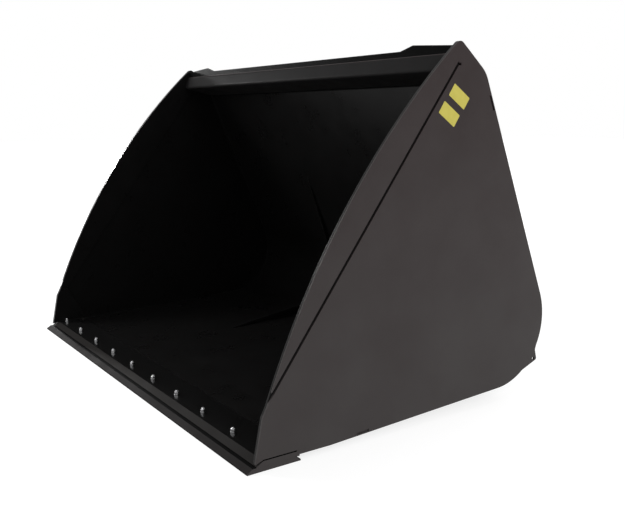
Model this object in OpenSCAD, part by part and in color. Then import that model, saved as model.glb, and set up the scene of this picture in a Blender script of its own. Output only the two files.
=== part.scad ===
// High capacity loader bucket in welded plate, with a bolt-on cutting edge and a hook-and-pin hitch.
// X runs across the width, the mouth faces -Y, and Z is up from the ground.
// Places along Y are given behind the tip of the blade, and the whole is centred when it is placed.

/* [Overall] */
// Width over the side plates
bucket_w = 2450; // [2000:10:2800]

/* [Side profile] */
// Height of the sharp corner at the peak of the side plates
peak_z = 1592; // [1560:2:1620]
// Distance of the peak behind the blade tip
peak_y = 1012; // [1000:2:1024]
// Rounding of the peak
peak_r = 24; // [15:1:40]
// Drop of the sloping top edge from the peak to its corner with the back
shoulder_drop = 127; // [115:1:140]
// Distance of that corner behind the peak
shoulder_back = 153; // [140:1:165]
// Rounding of that corner
shoulder_r = 120; // [60:5:140]
// Lean of the back from upright
back_lean = 22.8; // [21.5:0.1:24]
// Radius of the heel between floor and back
heel_r = 297; // [270:1:310]
// Distance at which the floor starts to rise
floor_bend_y = 375; // [340:5:420]
// Rise of the floor behind that
floor_rise = 2.5; // [2:0.1:3]
// Radius of the bowed front edge
bow_r = 3442; // [3000:10:4500]
// Lower end of the bowed edge, behind the blade tip
bow_foot_y = 89; // [84:1:96]
// Lower end of the bowed edge, above the ground
bow_foot_z = 240; // [230:1:255]
// Top of the upright front edge, behind the blade tip
brow_y = 70; // [62:1:78]
// Top of the upright front edge, above the ground
brow_z = 204; // [190:1:215]
// Foot of the upright front edge, behind the blade tip
toe_y = 36; // [32:1:42]
// Foot of the upright front edge, above the ground
toe_z = 32; // [30:1:38]

/* [Plates] */
// Thickness of the floor and back sheets
shell_t = 8; // [6:0.5:10]
// Distance of the shell inside the edges of the side plates
shell_inset = 6; // [4:0.5:8]
// Thickness of the side plates and front bands
side_t = 10; // [8:1:14]
// Thickness of the doublers, corner plates and rail end plates behind them
doubler_t = 10; // [8:1:14]
// Width of the groove between side plate and front band
groove_w = 11; // [8:0.5:13]
// Lower end of the groove, behind the blade tip
groove_y = 97; // [94:1:102]
// Lower end of the groove, above the ground
groove_z = 266; // [260:1:272]
// Distance of the groove's upper end below the peak, beyond which band and plate butt together
groove_stop = 93; // [88:1:125]
// Distance of that end ahead of the peak
groove_ahead = 5; // [3:0.5:8]
// Length of the relief notch at the upper end of the groove
groove_notch_l = 12; // [8:1:20]
// Width of the doubler behind the groove
doubler_lap = 40; // [25:1:60]
// Height of the seam between floor and back sheets
seam_z = 560; // [520:5:640]

/* [Rear lug] */
// Lug hole behind the blade tip
lug_y = 1554; // [1552:0.5:1556]
// Lug hole above the ground
lug_z = 165; // [163:0.5:167]
// Diameter of the lug hole
lug_hole_d = 17; // [14:0.5:20]

/* [Cutting edge] */
// Width of the blade, tip to tip
blade_d = 235; // [225:5:240]
// Thickness of the blade
blade_t = 20; // [16:1:25]
// Height of the blunt nose of the blade
blade_nose = 6; // [4:0.5:8]
// Width of the bevel along each long side of the blade
blade_bevel = 24; // [16:1:30]
// Thickness of the base edge
base_t = 20; // [16:1:25]
// Front of the base edge behind the blade tip
base_y = 40; // [36:1:44]
// Width of the bevel along the front of the base edge
base_bevel = 30; // [20:1:34]
// Height of the blunt nose of the base edge
base_nose = 3; // [2:0.5:6]
// Rear of the base edge behind the blade tip
base_rear_y = 230; // [225:1:240]
// Gap between the side plates and the base edge
base_gap = 5; // [3:0.5:6]
// Length over which plates and base edge touch at the rear of that gap
base_touch = 12; // [8:1:20]
// Distance of the bolt row behind the blade tip
bolt_y = 112; // [104:1:120]
// Number of edge bolts
bolt_n = 10; // [6:1:12]
// Distance of the outermost bolts from the ends of the blade
bolt_end = 41.5; // [38:0.5:80]
// Diameter of the edge bolts
bolt_d = 16; // [14:1:20]

/* [Top rail] */
// Distance of the rail's top below the peak
rail_drop = 57; // [52:1:62]
// Height of the rail's face
rail_h = 67; // [60:1:74]
// Distance of the face's lower edge ahead of the peak
rail_ahead = 44; // [38:1:48]
// Run of the face from its lower to its upper edge
rail_run = 24; // [18:1:32]
// Width of the flat on top of the rail
rail_flat = 26; // [22:1:32]
// Distance below the shoulder at which the rail's underside meets the back
rail_rear_drop = 39; // [38:1:46]
// Thickness of the rail
rail_t = 8; // [5:0.5:10]
// Thickness of the lip standing on the rail
lip_t = 10; // [6:1:12]
// Height of the lip
lip_h = 29; // [20:1:40]
// Extra height of the ears near the ends of the lip
ear_h = 21; // [10:1:30]
// Extra height of the ears' outer ends
ear_end_h = 4; // [2:0.5:8]

/* [Hitch] */
// Distance of each pair of cheeks from the middle
hitch_x = 330; // [300:5:420]
// Gap between the cheeks of a pair
hitch_gap = 90; // [80:2:120]
// Thickness of the cheeks
cheek_t = 20; // [15:1:30]
// Distance of the back of the cheeks behind the heel
hitch_reach = 156.5; // [140:0.5:180]
// Height of the top pins
hook_z = 860; // [840:5:880]
// Height of the lower bushes
bush_z = 300; // [295:5:320]
// Distance of pins and bushes in front of the back of the cheeks
hitch_in = 70; // [60:2:80]
// Diameter of the top pins
hook_pin_d = 50; // [40:1:60]
// Bore of the lower bushes
bush_bore_d = 50; // [40:1:60]

/* [Hidden] */
$fn = 48;

// Shared values
overrun = 1;
far = 2 * bucket_w;
facet_l = 16;
facet_turn = 20;
black = [0.12, 0.12, 0.12];
zinc = [0.78, 0.78, 0.80];
side_x = bucket_w / 2;
side_in_x = side_x - side_t;
doubler_in_x = side_in_x - doubler_t;
weld_play = 0.5;

// Plane geometry
function unit(v) = v / norm(v);
function turned(v, a) = [v.x * cos(a) - v.y * sin(a), v.x * sin(a) + v.y * cos(a)];
function left_of(v) = [-v.y, v.x];
function xy(p) = [p.x, p.y];
function angle_of(v) = atan2(v.y, v.x);

// Centre of the arc of radius r that rounds the corner p between a and b
function corner_centre(a, p, b, r) =
    let (u = unit(a - p), v = unit(b - p), half = acos(u * v) / 2)
    p + unit(u + v) * r / sin(half);

// The points of that arc, or the corner itself where r is zero
function corner(a, p, b, r) =
    r == 0 ? [p] :
    let (u = unit(a - p), v = unit(b - p), half = acos(u * v) / 2,
         c = corner_centre(a, p, b, r),
         start = p + u * r / tan(half) - c,
         turn = (180 - 2 * half) * sign(cross(p - a, b - p)),
         n = ceil(max(abs(turn) / facet_turn, norm(start) * abs(turn) * PI / 180 / facet_l)))
    [for (i = [0 : n]) c + turned(start, turn * i / n)];

// Corners given as [y, z, radius], as a closed outline and as an open path
function outline(c) =
    let (n = len(c))
    [for (i = [0 : n - 1])
        each corner(xy(c[(i + n - 1) % n]), xy(c[i]), xy(c[(i + 1) % n]), c[i][2])];
function path(c) =
    let (n = len(c))
    [for (i = [0 : n - 1])
        each i == 0 || i == n - 1 ? [xy(c[i])] : corner(xy(c[i - 1]), xy(c[i]), xy(c[i + 1]), c[i][2])];

// An open path moved to its left by d, with mitred corners
function beside(p, d) =
    let (n = len(p))
    [for (i = [0 : n - 1])
        let (before = left_of(unit(p[max(i, 1)] - p[max(i, 1) - 1])),
             after = left_of(unit(p[min(i + 1, n - 1)] - p[min(i + 1, n - 1) - 1])),
             m = unit(before + after))
        p[i] + m * d / (m * before)];
function back_to_front(p) = [for (i = [len(p) - 1 : -1 : 0]) p[i]];

// The strip between two offsets of a path
module strip(p, d1, d2) {
    polygon(concat(beside(p, min(d1, d2)), back_to_front(beside(p, max(d1, d2)))));
}

// A section in the Y-Z plane drawn out from x1 to x2
module along_x(x1, x2) {
    translate([x1, 0, 0])
        rotate([90, 0, 90])
            linear_extrude(x2 - x1) children();
}

// The same section on both sides, between two distances from the middle
module both_sides(x1, x2) {
    along_x(x1, x2) children();
    along_x(-x2, -x1) children();
}

// Middle of the bucket's depth at the origin
module placed() {
    translate([0, -bucket_depth / 2, 0]) children();
}

// Heights and distances that follow from the sizes above
blade_top_z = blade_t;
base_top_z = blade_t + base_t;
floor_z = base_top_z - shell_t - shell_inset;
shoulder_y = peak_y + shoulder_back;
shoulder_z = peak_z - shoulder_drop;

// Side profile
tan_rise = tan(floor_rise);
tan_lean = tan(back_lean);
function floor_at(y) = floor_z + max(0, y - floor_bend_y) * tan_rise;
function back_at(z) = shoulder_y + (shoulder_z - z) * tan_lean;
heel_y = (shoulder_y + (shoulder_z - floor_z + floor_bend_y * tan_rise) * tan_lean)
    / (1 + tan_rise * tan_lean);
heel = [heel_y, floor_at(heel_y)];
shoulder = [shoulder_y, shoulder_z];
peak = [peak_y, peak_z];
bow_foot = [bow_foot_y, bow_foot_z];
heel_c = corner_centre([floor_bend_y, floor_z], heel, shoulder, heel_r);
bucket_depth = heel_c.x + heel_r + hitch_reach;

// The edge line that floor and back follow, from y1 on the floor to z2 on the back
function shell_line(y1, z2) = path(concat(
    [[y1, floor_at(y1), 0]],
    y1 < floor_bend_y ? [[floor_bend_y, floor_z, 0]] : [],
    [[heel.x, heel.y, heel_r], [back_at(z2), z2, 0]]));

// The bowed edge is an arc through the foot and the peak
bow_chord = peak - bow_foot;
bow_c = (peak + bow_foot) / 2
    - left_of(unit(bow_chord)) * sqrt(pow(bow_r, 2) - pow(norm(bow_chord) / 2, 2));
bow_a1 = angle_of(peak - bow_c);
bow_a2 = angle_of(bow_foot - bow_c);
bow_steps = 16;
bow = [for (i = [1 : bow_steps - 1])
    let (a = bow_a1 + (bow_a2 - bow_a1) * i / bow_steps)
    [bow_c.x + bow_r * cos(a), bow_c.y + bow_r * sin(a), 0]];

// The lug, with its corners placed from its hole
lug_r = 10;
lug_tip_out = 23;
lug_tip_drop = 6;
lug_top_out = 10;
lug_top_rise = 40;
lug_low_angle = -54.5;
lug_top_angle = -27.5;
lug = [
    [lug_y + lug_tip_out, lug_z - lug_tip_drop, lug_r],
    [lug_y + lug_top_out, lug_z + lug_top_rise, lug_r]];

// The heel from one angle to another
function heel_arc(a1, a2, n) =
    [for (i = [0 : n])
        let (a = a1 + (a2 - a1) * i / n)
        [heel_c.x + heel_r * cos(a), heel_c.y + heel_r * sin(a), 0]];
under_steps = 12;
heel_steps = 17;

base_touch_y = base_rear_y - base_touch;
side_lift_z = base_top_z + base_gap;
module side_outline() {
    polygon(outline(concat(
        [[toe_y, toe_z, 0],
         [base_y + base_bevel, side_lift_z, 0],
         [base_touch_y, side_lift_z, 0],
         [base_touch_y, base_top_z, 0],
         [base_rear_y, base_top_z, 0],
         [base_rear_y, floor_z, 0],
         [floor_bend_y, floor_z, 0]],
        heel_arc(floor_rise - 90, lug_low_angle, under_steps),
        lug,
        heel_arc(lug_top_angle, back_lean, heel_steps),
        [[shoulder.x, shoulder.y, shoulder_r], [peak.x, peak.y, peak_r]],
        bow,
        [[bow_foot.x, bow_foot.y, 0], [brow_y, brow_z, 0]])));
}

// Everything in front of the groove's middle line, moved back by d
groove_foot = [groove_y, groove_z];
groove_end = [peak_y - groove_ahead, peak_z - groove_stop];
groove_dir = unit(groove_end - groove_foot);
module before_groove(d) {
    low = groove_foot - groove_dir * far - left_of(groove_dir) * d;
    high = groove_foot + groove_dir * far - left_of(groove_dir) * d;
    polygon([low, high, high + left_of(groove_dir) * far, low + left_of(groove_dir) * far]);
}

// Everything beyond the end of the groove
module beyond_groove() {
    side = left_of(groove_dir) * far;
    polygon([groove_end - side, groove_end - side + groove_dir * far,
             groove_end + side + groove_dir * far, groove_end + side]);
}

// The ends of floor and back show in slots cut through the side plates
tab_l = side_t * 0.4;
slot_l = 60;
floor_slot_y = 505;
back_slot_z = shoulder_z - 2.5 * slot_l;
function floor_slot(play) =
    [for (y = [floor_slot_y - play, floor_slot_y + slot_l + play]) [y, floor_at(y)]];
function back_slot(play) =
    [for (z = [back_slot_z - play, back_slot_z + slot_l + play]) [back_at(z), z]];
module slots(play) {
    strip(floor_slot(play), shell_inset - play, shell_inset + shell_t + play);
    strip(back_slot(play), shell_inset - play, shell_inset + shell_t + play);
}

// Side plate, front band, edge doubler and corner plate
module side_section() {
    difference() {
        side_outline();
        before_groove(groove_w / 2);
        translate(groove_end - [0, groove_w]) square([groove_notch_l, groove_w]);
        slots(weld_play);
        translate([lug_y, lug_z]) circle(d = lug_hole_d);
    }
}
module band_section() {
    intersection() {
        side_outline();
        union() {
            before_groove(-groove_w / 2);
            intersection() {
                before_groove(groove_w / 2);
                beyond_groove();
            }
        }
    }
}
module doubler_section() {
    intersection() {
        side_outline();
        before_groove(doubler_lap);
        translate([0, bow_foot_z]) square(far);
    }
}
corner_top_w = 46;
corner_heel_h = 40;
module corner_section() {
    polygon([[toe_y, toe_z],
             [base_y + base_bevel, base_top_z],
             [base_rear_y, base_top_z],
             [base_rear_y, base_top_z + corner_heel_h],
             [bow_foot_y + corner_top_w, bow_foot_z],
             bow_foot,
             [brow_y, brow_z]]);
}
module side_plate(x) {
    color(black) placed() along_x(x, x + side_t) side_section();
}
module front_band(x) {
    color(black) placed() along_x(x, x + side_t) band_section();
}
module edge_doubler(x) {
    color(black) placed() along_x(x, x + doubler_t) doubler_section();
}
module corner_plate(x) {
    color(black) placed() along_x(x, x + doubler_t) corner_section();
}

// Cutting edge, base edge and their bolts
bolt_hole_d = bolt_d * 1.1;
bolt_head_d = bolt_d * 1.95;
bolt_head_h = bolt_d * 0.6;
bolt_pitch = (bucket_w - 2 * bolt_end) / (bolt_n - 1);
washer_d = bolt_d * 1.85;
washer_t = bolt_d * 0.15;
nut_af = bolt_d * 1.5;
nut_h = bolt_d * 0.9;
bolt_proud = bolt_d * 0.3;
bolt_tip = bolt_d * 0.1;
thread_gap = 0.1;
nut_z = base_top_z + washer_t;
module at_bolts() {
    for (i = [0 : bolt_n - 1])
        translate([(i - (bolt_n - 1) / 2) * bolt_pitch, bolt_y, 0]) children();
}
module cutting_edge() {
    color(black) placed() difference() {
        along_x(-side_x, side_x)
            polygon([[0, 0], [blade_d, 0], [blade_d, blade_nose], [blade_d - blade_bevel, blade_t],
                     [blade_bevel, blade_t], [0, blade_nose]]);
        at_bolts() {
            cylinder(h = bolt_head_h, d1 = bolt_head_d, d2 = bolt_hole_d);
            translate([0, 0, -overrun]) cylinder(h = blade_t + 2 * overrun, d = bolt_hole_d);
        }
    }
}
module base_edge() {
    color(black) placed() difference() {
        along_x(-side_x, side_x)
            polygon([[base_y, blade_top_z], [base_rear_y, blade_top_z], [base_rear_y, base_top_z],
                     [base_y + base_bevel, base_top_z], [base_y, blade_top_z + base_nose]]);
        at_bolts()
            translate([0, 0, blade_top_z - overrun])
                cylinder(h = base_t + 2 * overrun, d = bolt_hole_d);
    }
}
module edge_bolts() {
    shank_h = nut_z + nut_h + bolt_proud - bolt_tip;
    color(zinc) placed() at_bolts() {
        cylinder(h = bolt_head_h, d1 = bolt_head_d, d2 = bolt_hole_d);
        cylinder(h = shank_h, d = bolt_d);
        translate([0, 0, shank_h]) cylinder(h = bolt_tip, d1 = bolt_d, d2 = bolt_d - 2 * bolt_tip);
    }
}
module edge_washers() {
    color(zinc) placed() at_bolts()
        translate([0, 0, base_top_z])
            difference() {
                cylinder(h = washer_t, d = washer_d);
                translate([0, 0, -overrun]) cylinder(h = washer_t + 2 * overrun, d = bolt_hole_d);
            }
}
module edge_nuts() {
    color(zinc) placed() at_bolts()
        translate([0, 0, nut_z])
            difference() {
                cylinder(h = nut_h, d = nut_af / cos(30), $fn = 6);
                translate([0, 0, -overrun])
                    cylinder(h = nut_h + 2 * overrun, d = bolt_d + 2 * thread_gap);
            }
}
plug_d = 22;
plug_h = 5;
plug_rim = 3;
plug_x = doubler_in_x - plug_d * 0.7;
plug_y = base_rear_y - plug_d * 0.7;
module corner_plugs() {
    color(black) placed()
        for (s = [-1, 1])
            translate([s * plug_x, plug_y, base_top_z]) {
                cylinder(h = plug_h - plug_rim, d = plug_d);
                translate([0, 0, plug_h - plug_rim])
                    cylinder(h = plug_rim, d1 = plug_d, d2 = plug_d - 2 * plug_rim);
            }
}

// Shell
back_top_z = shoulder_z - 3;
module floor_section() {
    strip(shell_line(base_rear_y, seam_z), shell_inset, shell_inset + shell_t);
}
module back_section() {
    strip([[back_at(seam_z), seam_z], [back_at(back_top_z), back_top_z]],
          shell_inset, shell_inset + shell_t);
}
module floor_sheet() {
    color(black) placed() {
        along_x(-side_in_x, side_in_x) floor_section();
        along_x(-side_in_x - tab_l, side_in_x + tab_l)
            strip(floor_slot(0), shell_inset, shell_inset + shell_t);
    }
}
module back_sheet() {
    color(black) placed() {
        along_x(-side_in_x, side_in_x) back_section();
        along_x(-side_in_x - tab_l, side_in_x + tab_l)
            strip(back_slot(0), shell_inset, shell_inset + shell_t);
    }
}

// Everything behind the shell's outer face, or its inner face where d is the sheet's thickness
module inside_shell(d) {
    line = beside(shell_line(base_rear_y, shoulder_z), shell_inset + d);
    polygon(concat(line, [[-far, line[len(line) - 1].y], [-far, line[0].y]]));
}

// Top rail
rail_bend_r = rail_t * 1.6;
rail_low_y = peak_y - rail_ahead;
rail_top_y = rail_low_y + rail_run;
rail_top_z = peak_z - rail_drop;
rail_low_z = rail_top_z - rail_h;
rail_rear_z = shoulder_z - rail_rear_drop;
rail_rear_y = back_at(rail_rear_z) - (shell_inset + shell_t) / cos(back_lean);
rail_cover_y = rail_top_y + rail_flat;
rail_end = beside([[back_at(seam_z), seam_z], [back_at(back_top_z), back_top_z]], shell_inset + shell_t)[1];
rail_cover = unit(rail_end - [rail_cover_y, rail_top_z]);
rail_line = path([
    [rail_rear_y, rail_rear_z, 0],
    [rail_low_y, rail_low_z, rail_bend_r],
    [rail_top_y, rail_top_z, rail_bend_r],
    [rail_cover_y, rail_top_z, rail_bend_r],
    concat(rail_end + rail_cover * rail_t * 1.8, [0])]);
module before_back() {
    line = beside([[back_at(seam_z), seam_z], [back_at(peak_z), peak_z]], shell_inset + shell_t);
    polygon([line[0], line[1], [-far, line[1].y], [-far, line[0].y]]);
}
module rail_section() {
    intersection() {
        strip(rail_line, 0, -rail_t);
        before_back();
    }
}
module rail_outline(d) {
    intersection() {
        polygon(beside(rail_line, -d));
        before_back();
    }
}
module top_rail() {
    color(black) placed() along_x(-doubler_in_x, doubler_in_x) rail_section();
}
diaphragm_t = rail_t;
diaphragm_shares = [-0.5, 0, 0.5];
module rail_diaphragms() {
    color(black) placed()
        for (s = diaphragm_shares)
            along_x(s * doubler_in_x - diaphragm_t / 2, s * doubler_in_x + diaphragm_t / 2)
                rail_outline(rail_t);
}
module rail_end_plates() {
    color(black) placed() both_sides(doubler_in_x, side_in_x)
        difference() {
            rail_outline(0);
            before_groove(doubler_lap);
        }
}

// Lip with an ear near each end
lip_y = rail_cover_y - rail_flat * 0.3 - lip_t;
lip_top_z = rail_top_z + lip_h;
ear_x_shares = [0.722, 0.79];
module top_lip() {
    ear = [[doubler_in_x, lip_top_z + ear_end_h],
           [ear_x_shares[1] * doubler_in_x, lip_top_z + ear_h],
           [ear_x_shares[0] * doubler_in_x, lip_top_z]];
    color(black) placed()
        translate([0, lip_y + lip_t, 0]) rotate([90, 0, 0]) linear_extrude(lip_t)
            polygon(concat(
                [[-doubler_in_x, rail_top_z], [doubler_in_x, rail_top_z]],
                ear,
                [for (p = back_to_front(ear)) [-p.x, p.y]]));
}

// Runners under the floor, their wear strips, and the ribs that carry on up the back
web_t = 12;
wear_t = 12;
wear_w = 60;
runner_gap = 32;
runner_stop = 18;
runner_front_y = base_rear_y + runner_gap;
runner_rear_y = heel_c.x - runner_stop;
runner_x_shares = [0.27, 0.53, 0.86];
rib_x_shares = [0.53, 0.86];
rib_depth = floor_at(runner_rear_y) + shell_inset - wear_t;
rib_drop = 215;
rib_top_z = shoulder_z - rib_drop;
rib_taper = 120;
module floor_runners() {
    color(black) placed()
        for (s = runner_x_shares)
            both_sides(s * side_x - web_t / 2, s * side_x + web_t / 2)
                polygon([[runner_front_y, wear_t], [runner_rear_y, wear_t],
                         [runner_rear_y, floor_at(runner_rear_y) + shell_inset],
                         [floor_bend_y, floor_z + shell_inset],
                         [runner_front_y, floor_z + shell_inset]]);
}
module wear_strips() {
    color(black) placed()
        for (s = runner_x_shares)
            both_sides(s * side_x - wear_w / 2, s * side_x + wear_w / 2)
                polygon([[runner_front_y + wear_t, 0], [runner_rear_y - wear_t, 0],
                         [runner_rear_y, wear_t], [runner_front_y, wear_t]]);
}
module back_ribs() {
    color(black) placed()
        for (s = rib_x_shares)
            both_sides(s * side_x - web_t / 2, s * side_x + web_t / 2)
                polygon(concat(
                    beside(shell_line(runner_rear_y, rib_top_z), shell_inset),
                    back_to_front(beside(shell_line(runner_rear_y, rib_top_z - rib_taper),
                                         shell_inset - rib_depth))));
}

// Hitch
pad_t = 10;
pad_margin = 45;
pad_below_seam = 40;
pad_above_hook = 220;
pad_above_cheek = 30;
pad_w = hitch_gap + 2 * cheek_t + 2 * pad_margin;
pad_low_z = seam_z - pad_below_seam;
pad_high_z = hook_z + pad_above_hook;
cheek_high_z = pad_high_z - pad_above_cheek;
cheek_r = 60;
cheek_drop = 60;
hitch_y = bucket_depth - hitch_in;
module pad_section() {
    strip([[back_at(pad_low_z), pad_low_z], [back_at(pad_high_z), pad_high_z]],
          shell_inset - pad_t, shell_inset);
}
module cheek_section() {
    difference() {
        polygon(outline([
            [heel_c.x, bush_z - cheek_drop * 1.9, 0],
            [bucket_depth, bush_z - cheek_drop, cheek_r],
            [bucket_depth, hook_z + cheek_drop, cheek_r],
            [back_at(cheek_high_z), cheek_high_z, 0],
            [heel_c.x - cheek_drop, cheek_high_z, 0],
            [heel_c.x - cheek_drop, heel_c.y, 0]]));
        inside_shell(0);
        strip([[back_at(pad_low_z), pad_low_z], [back_at(pad_high_z), pad_high_z]],
              shell_inset - pad_t, shell_inset + shell_t);
        translate([hitch_y, hook_z]) circle(d = hook_end_d + 2 * thread_gap);
        translate([hitch_y, bush_z]) circle(d = bush_d);
    }
}
hook_end_d = hook_pin_d * 0.8;
hook_end_proud = 8;
hook_end_l = cheek_t + hook_end_proud;
bush_wall = 15;
bush_proud = 8;
bush_d = bush_bore_d + 2 * bush_wall;
bush_l = cheek_t + 2 * bush_proud;
module at_pairs() {
    for (s = [-1, 1])
        translate([s * hitch_x, 0, 0]) children();
}
module hitch_pads() {
    color(black) placed() at_pairs() along_x(-pad_w / 2, pad_w / 2) pad_section();
}
module hitch_cheeks() {
    color(black) placed() at_pairs() both_sides(hitch_gap / 2, hitch_gap / 2 + cheek_t) cheek_section();
}
module hitch_top_pins() {
    color(zinc) placed() at_pairs() translate([0, hitch_y, hook_z]) rotate([0, 90, 0]) {
        cylinder(h = hitch_gap, d = hook_pin_d, center = true);
        cylinder(h = hitch_gap + 2 * hook_end_l, d = hook_end_d, center = true);
    }
}
module hitch_lower_bushes() {
    color(zinc) placed() at_pairs()
        for (s = [-1, 1])
            translate([s * (hitch_gap + cheek_t) / 2, hitch_y, bush_z]) rotate([0, 90, 0])
                difference() {
                    cylinder(h = bush_l, d = bush_d, center = true);
                    cylinder(h = bush_l + 2 * overrun, d = bush_bore_d, center = true);
                }
}
tube_d = 102;
tube_t = 8;
tube_y = heel_c.x + heel_r - tube_t / 2;
tube_z = heel_c.y + heel_r * 0.85;
module hitch_cross_tube() {
    color(black) placed()
        along_x(hitch_gap / 2 + cheek_t - hitch_x, hitch_x - hitch_gap / 2 - cheek_t)
            translate([tube_y, tube_z]) difference() {
                circle(d = tube_d);
                circle(d = tube_d - 2 * tube_t);
            }
}
tie_t = 12;
tie_y = heel_c.x + heel_r;
tie_h = 300;
module hitch_tie_plates() {
    color(black) placed() at_pairs()
        along_x(-hitch_gap / 2, hitch_gap / 2)
            translate([tie_y, heel_c.y + cheek_drop]) square([tie_t, tie_h]);
}

cutting_edge();
base_edge();
edge_bolts();
edge_washers();
edge_nuts();
corner_plugs();
floor_sheet();
back_sheet();
side_plate(-side_x);  // side_plate_left
side_plate(side_in_x);  // side_plate_right
front_band(-side_x);  // front_band_left
front_band(side_in_x);  // front_band_right
edge_doubler(-side_in_x);  // edge_doubler_left
edge_doubler(doubler_in_x);  // edge_doubler_right
corner_plate(-side_in_x);  // corner_plate_left
corner_plate(doubler_in_x);  // corner_plate_right
top_rail();
top_lip();
rail_end_plates();
rail_diaphragms();
floor_runners();
wear_strips();
back_ribs();
hitch_pads();
hitch_cheeks();
hitch_top_pins();
hitch_lower_bushes();
hitch_cross_tube();
hitch_tie_plates();
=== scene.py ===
import math
import random

import bmesh
import bpy
from mathutils import Matrix, Vector


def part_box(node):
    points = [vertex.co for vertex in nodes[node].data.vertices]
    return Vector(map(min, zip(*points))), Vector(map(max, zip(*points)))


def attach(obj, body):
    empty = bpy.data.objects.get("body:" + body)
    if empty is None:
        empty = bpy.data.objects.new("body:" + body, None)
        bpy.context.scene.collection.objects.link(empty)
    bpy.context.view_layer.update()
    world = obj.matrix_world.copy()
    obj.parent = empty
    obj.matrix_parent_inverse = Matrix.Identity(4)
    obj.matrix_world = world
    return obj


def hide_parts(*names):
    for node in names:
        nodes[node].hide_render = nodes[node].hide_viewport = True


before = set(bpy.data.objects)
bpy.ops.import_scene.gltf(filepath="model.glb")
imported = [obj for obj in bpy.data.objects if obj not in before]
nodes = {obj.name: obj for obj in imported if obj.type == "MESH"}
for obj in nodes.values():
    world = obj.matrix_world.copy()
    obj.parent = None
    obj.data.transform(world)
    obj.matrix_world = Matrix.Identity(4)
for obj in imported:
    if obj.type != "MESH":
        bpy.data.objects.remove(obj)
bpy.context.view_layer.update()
BODY = "root"
MM = 0.001

# The bucket's own lines, in millimetres behind the blade tip and above the ground.
# Values in capitals are settled in this file, and the others come from the frame.
SHELL_INSET = 6
SHELL_T = 8
INNER = SHELL_INSET + SHELL_T
BEND_Y = 375
RISE = math.radians(2.5)
LEAN = math.radians(22.8)
HEEL_Y = 1305.68
HEEL_Z = 363.92
HEEL_R = 297
HEEL_STEPS = 28
SHOULDER_Y = 1165
SHOULDER_Z = 1465
SEAM_Z = 560
GROOVE_FOOT = (97, 266)
GROOVE_END = (1007, 1499)
GROOVE_W = 11

tip_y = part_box("cutting_edge")[0].y
side_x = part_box("side_plate_right")[1].x / MM
plate_in_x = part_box("side_plate_right")[0].x / MM
doubler_in_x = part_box("edge_doubler_right")[0].x / MM
base_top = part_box("base_edge")[1].z / MM
base_rear = (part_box("base_edge")[1].y - tip_y) / MM
floor_edge = base_top - SHELL_T - SHELL_INSET


def spot(x, y, z):
    """A place given in millimetres behind the blade tip, in the frame's metres."""
    return Vector((x * MM, tip_y + y * MM, z * MM))


def floor_at(y, inset):
    """The height of the floor's line, which is level up to the bend and rises behind it."""
    upright = inset / math.cos(RISE) if y > BEND_Y else inset
    return floor_edge + upright + max(0, y - BEND_Y) * math.tan(RISE)


def back_at(z, inset):
    """How far behind the blade tip the line of the back is."""
    return SHOULDER_Y + (SHOULDER_Z - z) * math.tan(LEAN) - inset / math.cos(LEAN)


def shell_run(inset, first_y, last_z):
    """The line of the floor, heel and back, so far inside the plates' edge line."""
    start = math.radians(-90) + RISE
    r = HEEL_R - inset
    run = [(first_y, floor_at(first_y, inset))]
    if first_y < BEND_Y:
        run.append((BEND_Y, floor_at(BEND_Y, inset)))
    for i in range(HEEL_STEPS + 1):
        a = start + (LEAN - start) * i / HEEL_STEPS
        run.append((HEEL_Y + r * math.cos(a), HEEL_Z + r * math.sin(a)))
    run.append((back_at(last_z, inset), last_z))
    return run


def at_x(x, run):
    """The places of a (y, z) run in the plane at x."""
    return [spot(x, y, z) for y, z in run]


def across(x, y, z):
    """A straight line from one side to the other."""
    return [spot(-x, y, z), spot(x, y, z)]


# Finishes, with every pattern on object coordinates in metres.
# A Mix node keeps its two colours in the sockets of these numbers.
MIX_FIRST = 6
MIX_SECOND = 7
MIX_RESULT = 2
MIDDLE = (0.3, 0.7)
DUST_AND_LIGHT_FOOT = 0.02


def new_finish(name):
    """A new material with its node tree and its main shader."""
    finish = bpy.data.materials.new(name)
    finish.use_nodes = True
    tree = finish.node_tree
    return finish, tree, tree.nodes["Principled BSDF"]


def add_node(tree, kind, **values):
    """Adds a shader node; each value goes to the input or the setting of its name."""
    made = tree.nodes.new("ShaderNode" + kind)
    for name, value in values.items():
        if name in made.inputs:
            made.inputs[name].default_value = value
        else:
            setattr(made, name, value)
    return made


def noise(tree, scale, detail, roughness=0.5):
    """A cloud pattern, with its scale in clouds a metre."""
    place = add_node(tree, "TexCoord")
    made = add_node(tree, "TexNoise", Scale=scale, Detail=detail, Roughness=roughness)
    tree.links.new(place.outputs["Object"], made.inputs["Vector"])
    return made.outputs["Fac"]


def spread(tree, source, taken, given=(0, 1)):
    """Stretches the range taken from a source over the range given."""
    made = add_node(tree, "MapRange")
    for socket, value in zip(("From Min", "From Max", "To Min", "To Max"), (*taken, *given)):
        made.inputs[socket].default_value = value
    tree.links.new(source, made.inputs["Value"])
    return made.outputs["Result"]


def blend_colours(tree, share, first, second):
    """Goes from the first colour to the second, each a tuple or another node's output."""
    made = add_node(tree, "Mix", data_type="RGBA")
    tree.links.new(share, made.inputs["Factor"])
    for socket, colour in ((made.inputs[MIX_FIRST], first), (made.inputs[MIX_SECOND], second)):
        if isinstance(colour, tuple):
            socket.default_value = (*colour, 1)
        else:
            tree.links.new(colour, socket)
    return made.outputs[MIX_RESULT]


def times(tree, first, second):
    """The product of two values, each a number or another node's output."""
    made = add_node(tree, "Math", operation="MULTIPLY")
    for socket, value in zip(made.inputs, (first, second)):
        if isinstance(value, (int, float)):
            socket.default_value = value
        else:
            tree.links.new(value, socket)
    return made.outputs[0]


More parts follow.
